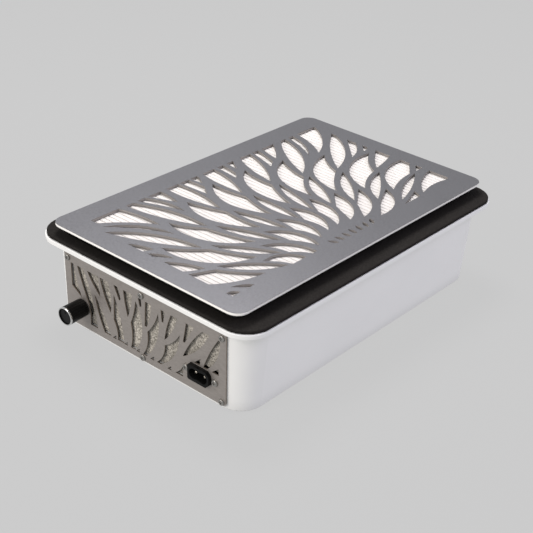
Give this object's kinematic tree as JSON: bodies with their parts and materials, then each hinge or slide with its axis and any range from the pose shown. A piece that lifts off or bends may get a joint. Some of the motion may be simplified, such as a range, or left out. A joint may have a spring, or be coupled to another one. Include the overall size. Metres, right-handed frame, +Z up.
{
  "type": "nail dust collector",
  "caption": "Desktop nail dust collector: white tapered tray, pleated filter under a leaf-pattern steel hand-rest plate, exhaust panel with speed knob and mains inlet.",
  "frame": {"origin": "centre of the overall bounding box in plan, on the surface that the feet stand on", "axes": "+Z up; +X along the length, away from the exhaust panel, which faces -X with the knob on its +Y side and the mains inlet on its -Y side; +Y across the width"},
  "size_m": [0.3238, 0.2156, 0.0868],
  "materials": {
    "white_abs": "fine satin moulded ABS",
    "eva_foam": "matt closed-cell foam sheet",
    "plate_steel": "grained, matt grey, cut edges slightly warm",
    "panel_steel": "brushed sheet",
    "frame_black": "satin black",
    "seat_black": "satin black",
    "filter_paper": "pleated fibre sheet",
    "grey_foam": "open-cell foam",
    "gasket_foam": "soft foam strip",
    "foot_rubber": "matt",
    "screw_steel": "bright zinc",
    "black_screw": "black oxide",
    "inlet_black": "smooth moulded",
    "pin_nickel": "nickel plated",
    "knob_black": "satin",
    "knob_bright": "polished",
    "pot_metal": "stamped can",
    "magnet_nickel": "plated",
    "blower_black": "glass-filled nylon",
    "impeller_black": "satin",
    "stator_copper": "wound copper on steel teeth",
    "shaft_steel": "ground",
    "bulkhead_abs": "satin",
    "board_green": "glass-fibre board",
    "standoff_nylon": "natural nylon",
    "ferrite": "pressed ferrite",
    "coil_tape": "polyester tape",
    "capacitor_sleeve": "shrunk sleeve",
    "heatsink_metal": "extruded",
    "terminal_green": "moulded",
    "lead_black": "wire insulation",
    "lead_red": "wire insulation",
    "lead_white": "wire insulation"
  },
  "bodies": {
    "housing": {"blower_a_bearings": "shaft_steel", "blower_a_case": "blower_black", "blower_a_cover": "blower_black", "blower_a_stator": "stator_copper", "blower_b_bearings": "shaft_steel", "blower_b_case": "blower_black", "blower_b_cover": "blower_black", "blower_b_stator": "stator_copper", "blower_screws": "screw_steel", "bulkhead": "bulkhead_abs", "duct_seals": "gasket_foam", "exhaust_foam": "grey_foam", "exhaust_panel": "panel_steel", "fan_leads": "lead_red", "feet_screws": "screw_steel", "filter_seat": "seat_black", "foam_gasket": "eva_foam", "inlet_body": "inlet_black", "inlet_nuts": "screw_steel", "inlet_pins": "pin_nickel", "inlet_screws": "screw_steel", "knob_leads": "lead_white", "mains_leads": "lead_black", "panel_screws": "screw_steel", "pot_body": "pot_metal", "pot_nut": "screw_steel", "pot_washer": "screw_steel", "psu_board": "board_green", "psu_capacitors": "capacitor_sleeve", "psu_coil": "coil_tape", "psu_heatsink": "heatsink_metal", "psu_screws": "screw_steel", "psu_standoffs": "standoff_nylon", "psu_terminals": "terminal_green", "psu_transformer": "ferrite", "rubber_feet": "foot_rubber", "seat_screws": "black_screw", "tray": "white_abs", "wire_grommet": "foot_rubber"},
    "filter": {"filter_frame": "frame_black", "pleat_pack": "filter_paper", "filter_gasket": "gasket_foam", "plate_magnets": "magnet_nickel"},
    "grille": {"grille_plate": "plate_steel"},
    "knob": {"pot_shaft": "shaft_steel", "knob_cap": "knob_black", "knob_ring": "knob_bright", "knob_face": "knob_black"},
    "impeller_a": {"blower_a_impeller": "impeller_black", "blower_a_shaft": "shaft_steel"},
    "impeller_b": {"blower_b_impeller": "impeller_black", "blower_b_shaft": "shaft_steel"}
  },
  "joints": [
    {"name": "filter_lift", "type": "slide", "parent": "housing", "child": "filter", "axis": [0, 0, 1], "range_m": [0, 0.08]},
    {"name": "plate_lift", "type": "slide", "parent": "filter", "child": "grille", "axis": [0, 0, 1], "range_m": [0, 0.05]},
    {"name": "knob_turn", "type": "hinge", "parent": "housing", "child": "knob", "pos_m": [-0.15192, 0.06385, 0.023], "axis": [0.999, 0, 0.0452], "range_deg": [0, 300]},
    {"name": "impeller_a_spin", "type": "hinge", "parent": "housing", "child": "impeller_a", "pos_m": [-0.05305, -0.046, 0.025], "axis": [0, 0, 1], "continuous": true},
    {"name": "impeller_b_spin", "type": "hinge", "parent": "housing", "child": "impeller_b", "pos_m": [-0.05305, 0.046, 0.025], "axis": [0, 0, 1], "continuous": true}
  ]
}
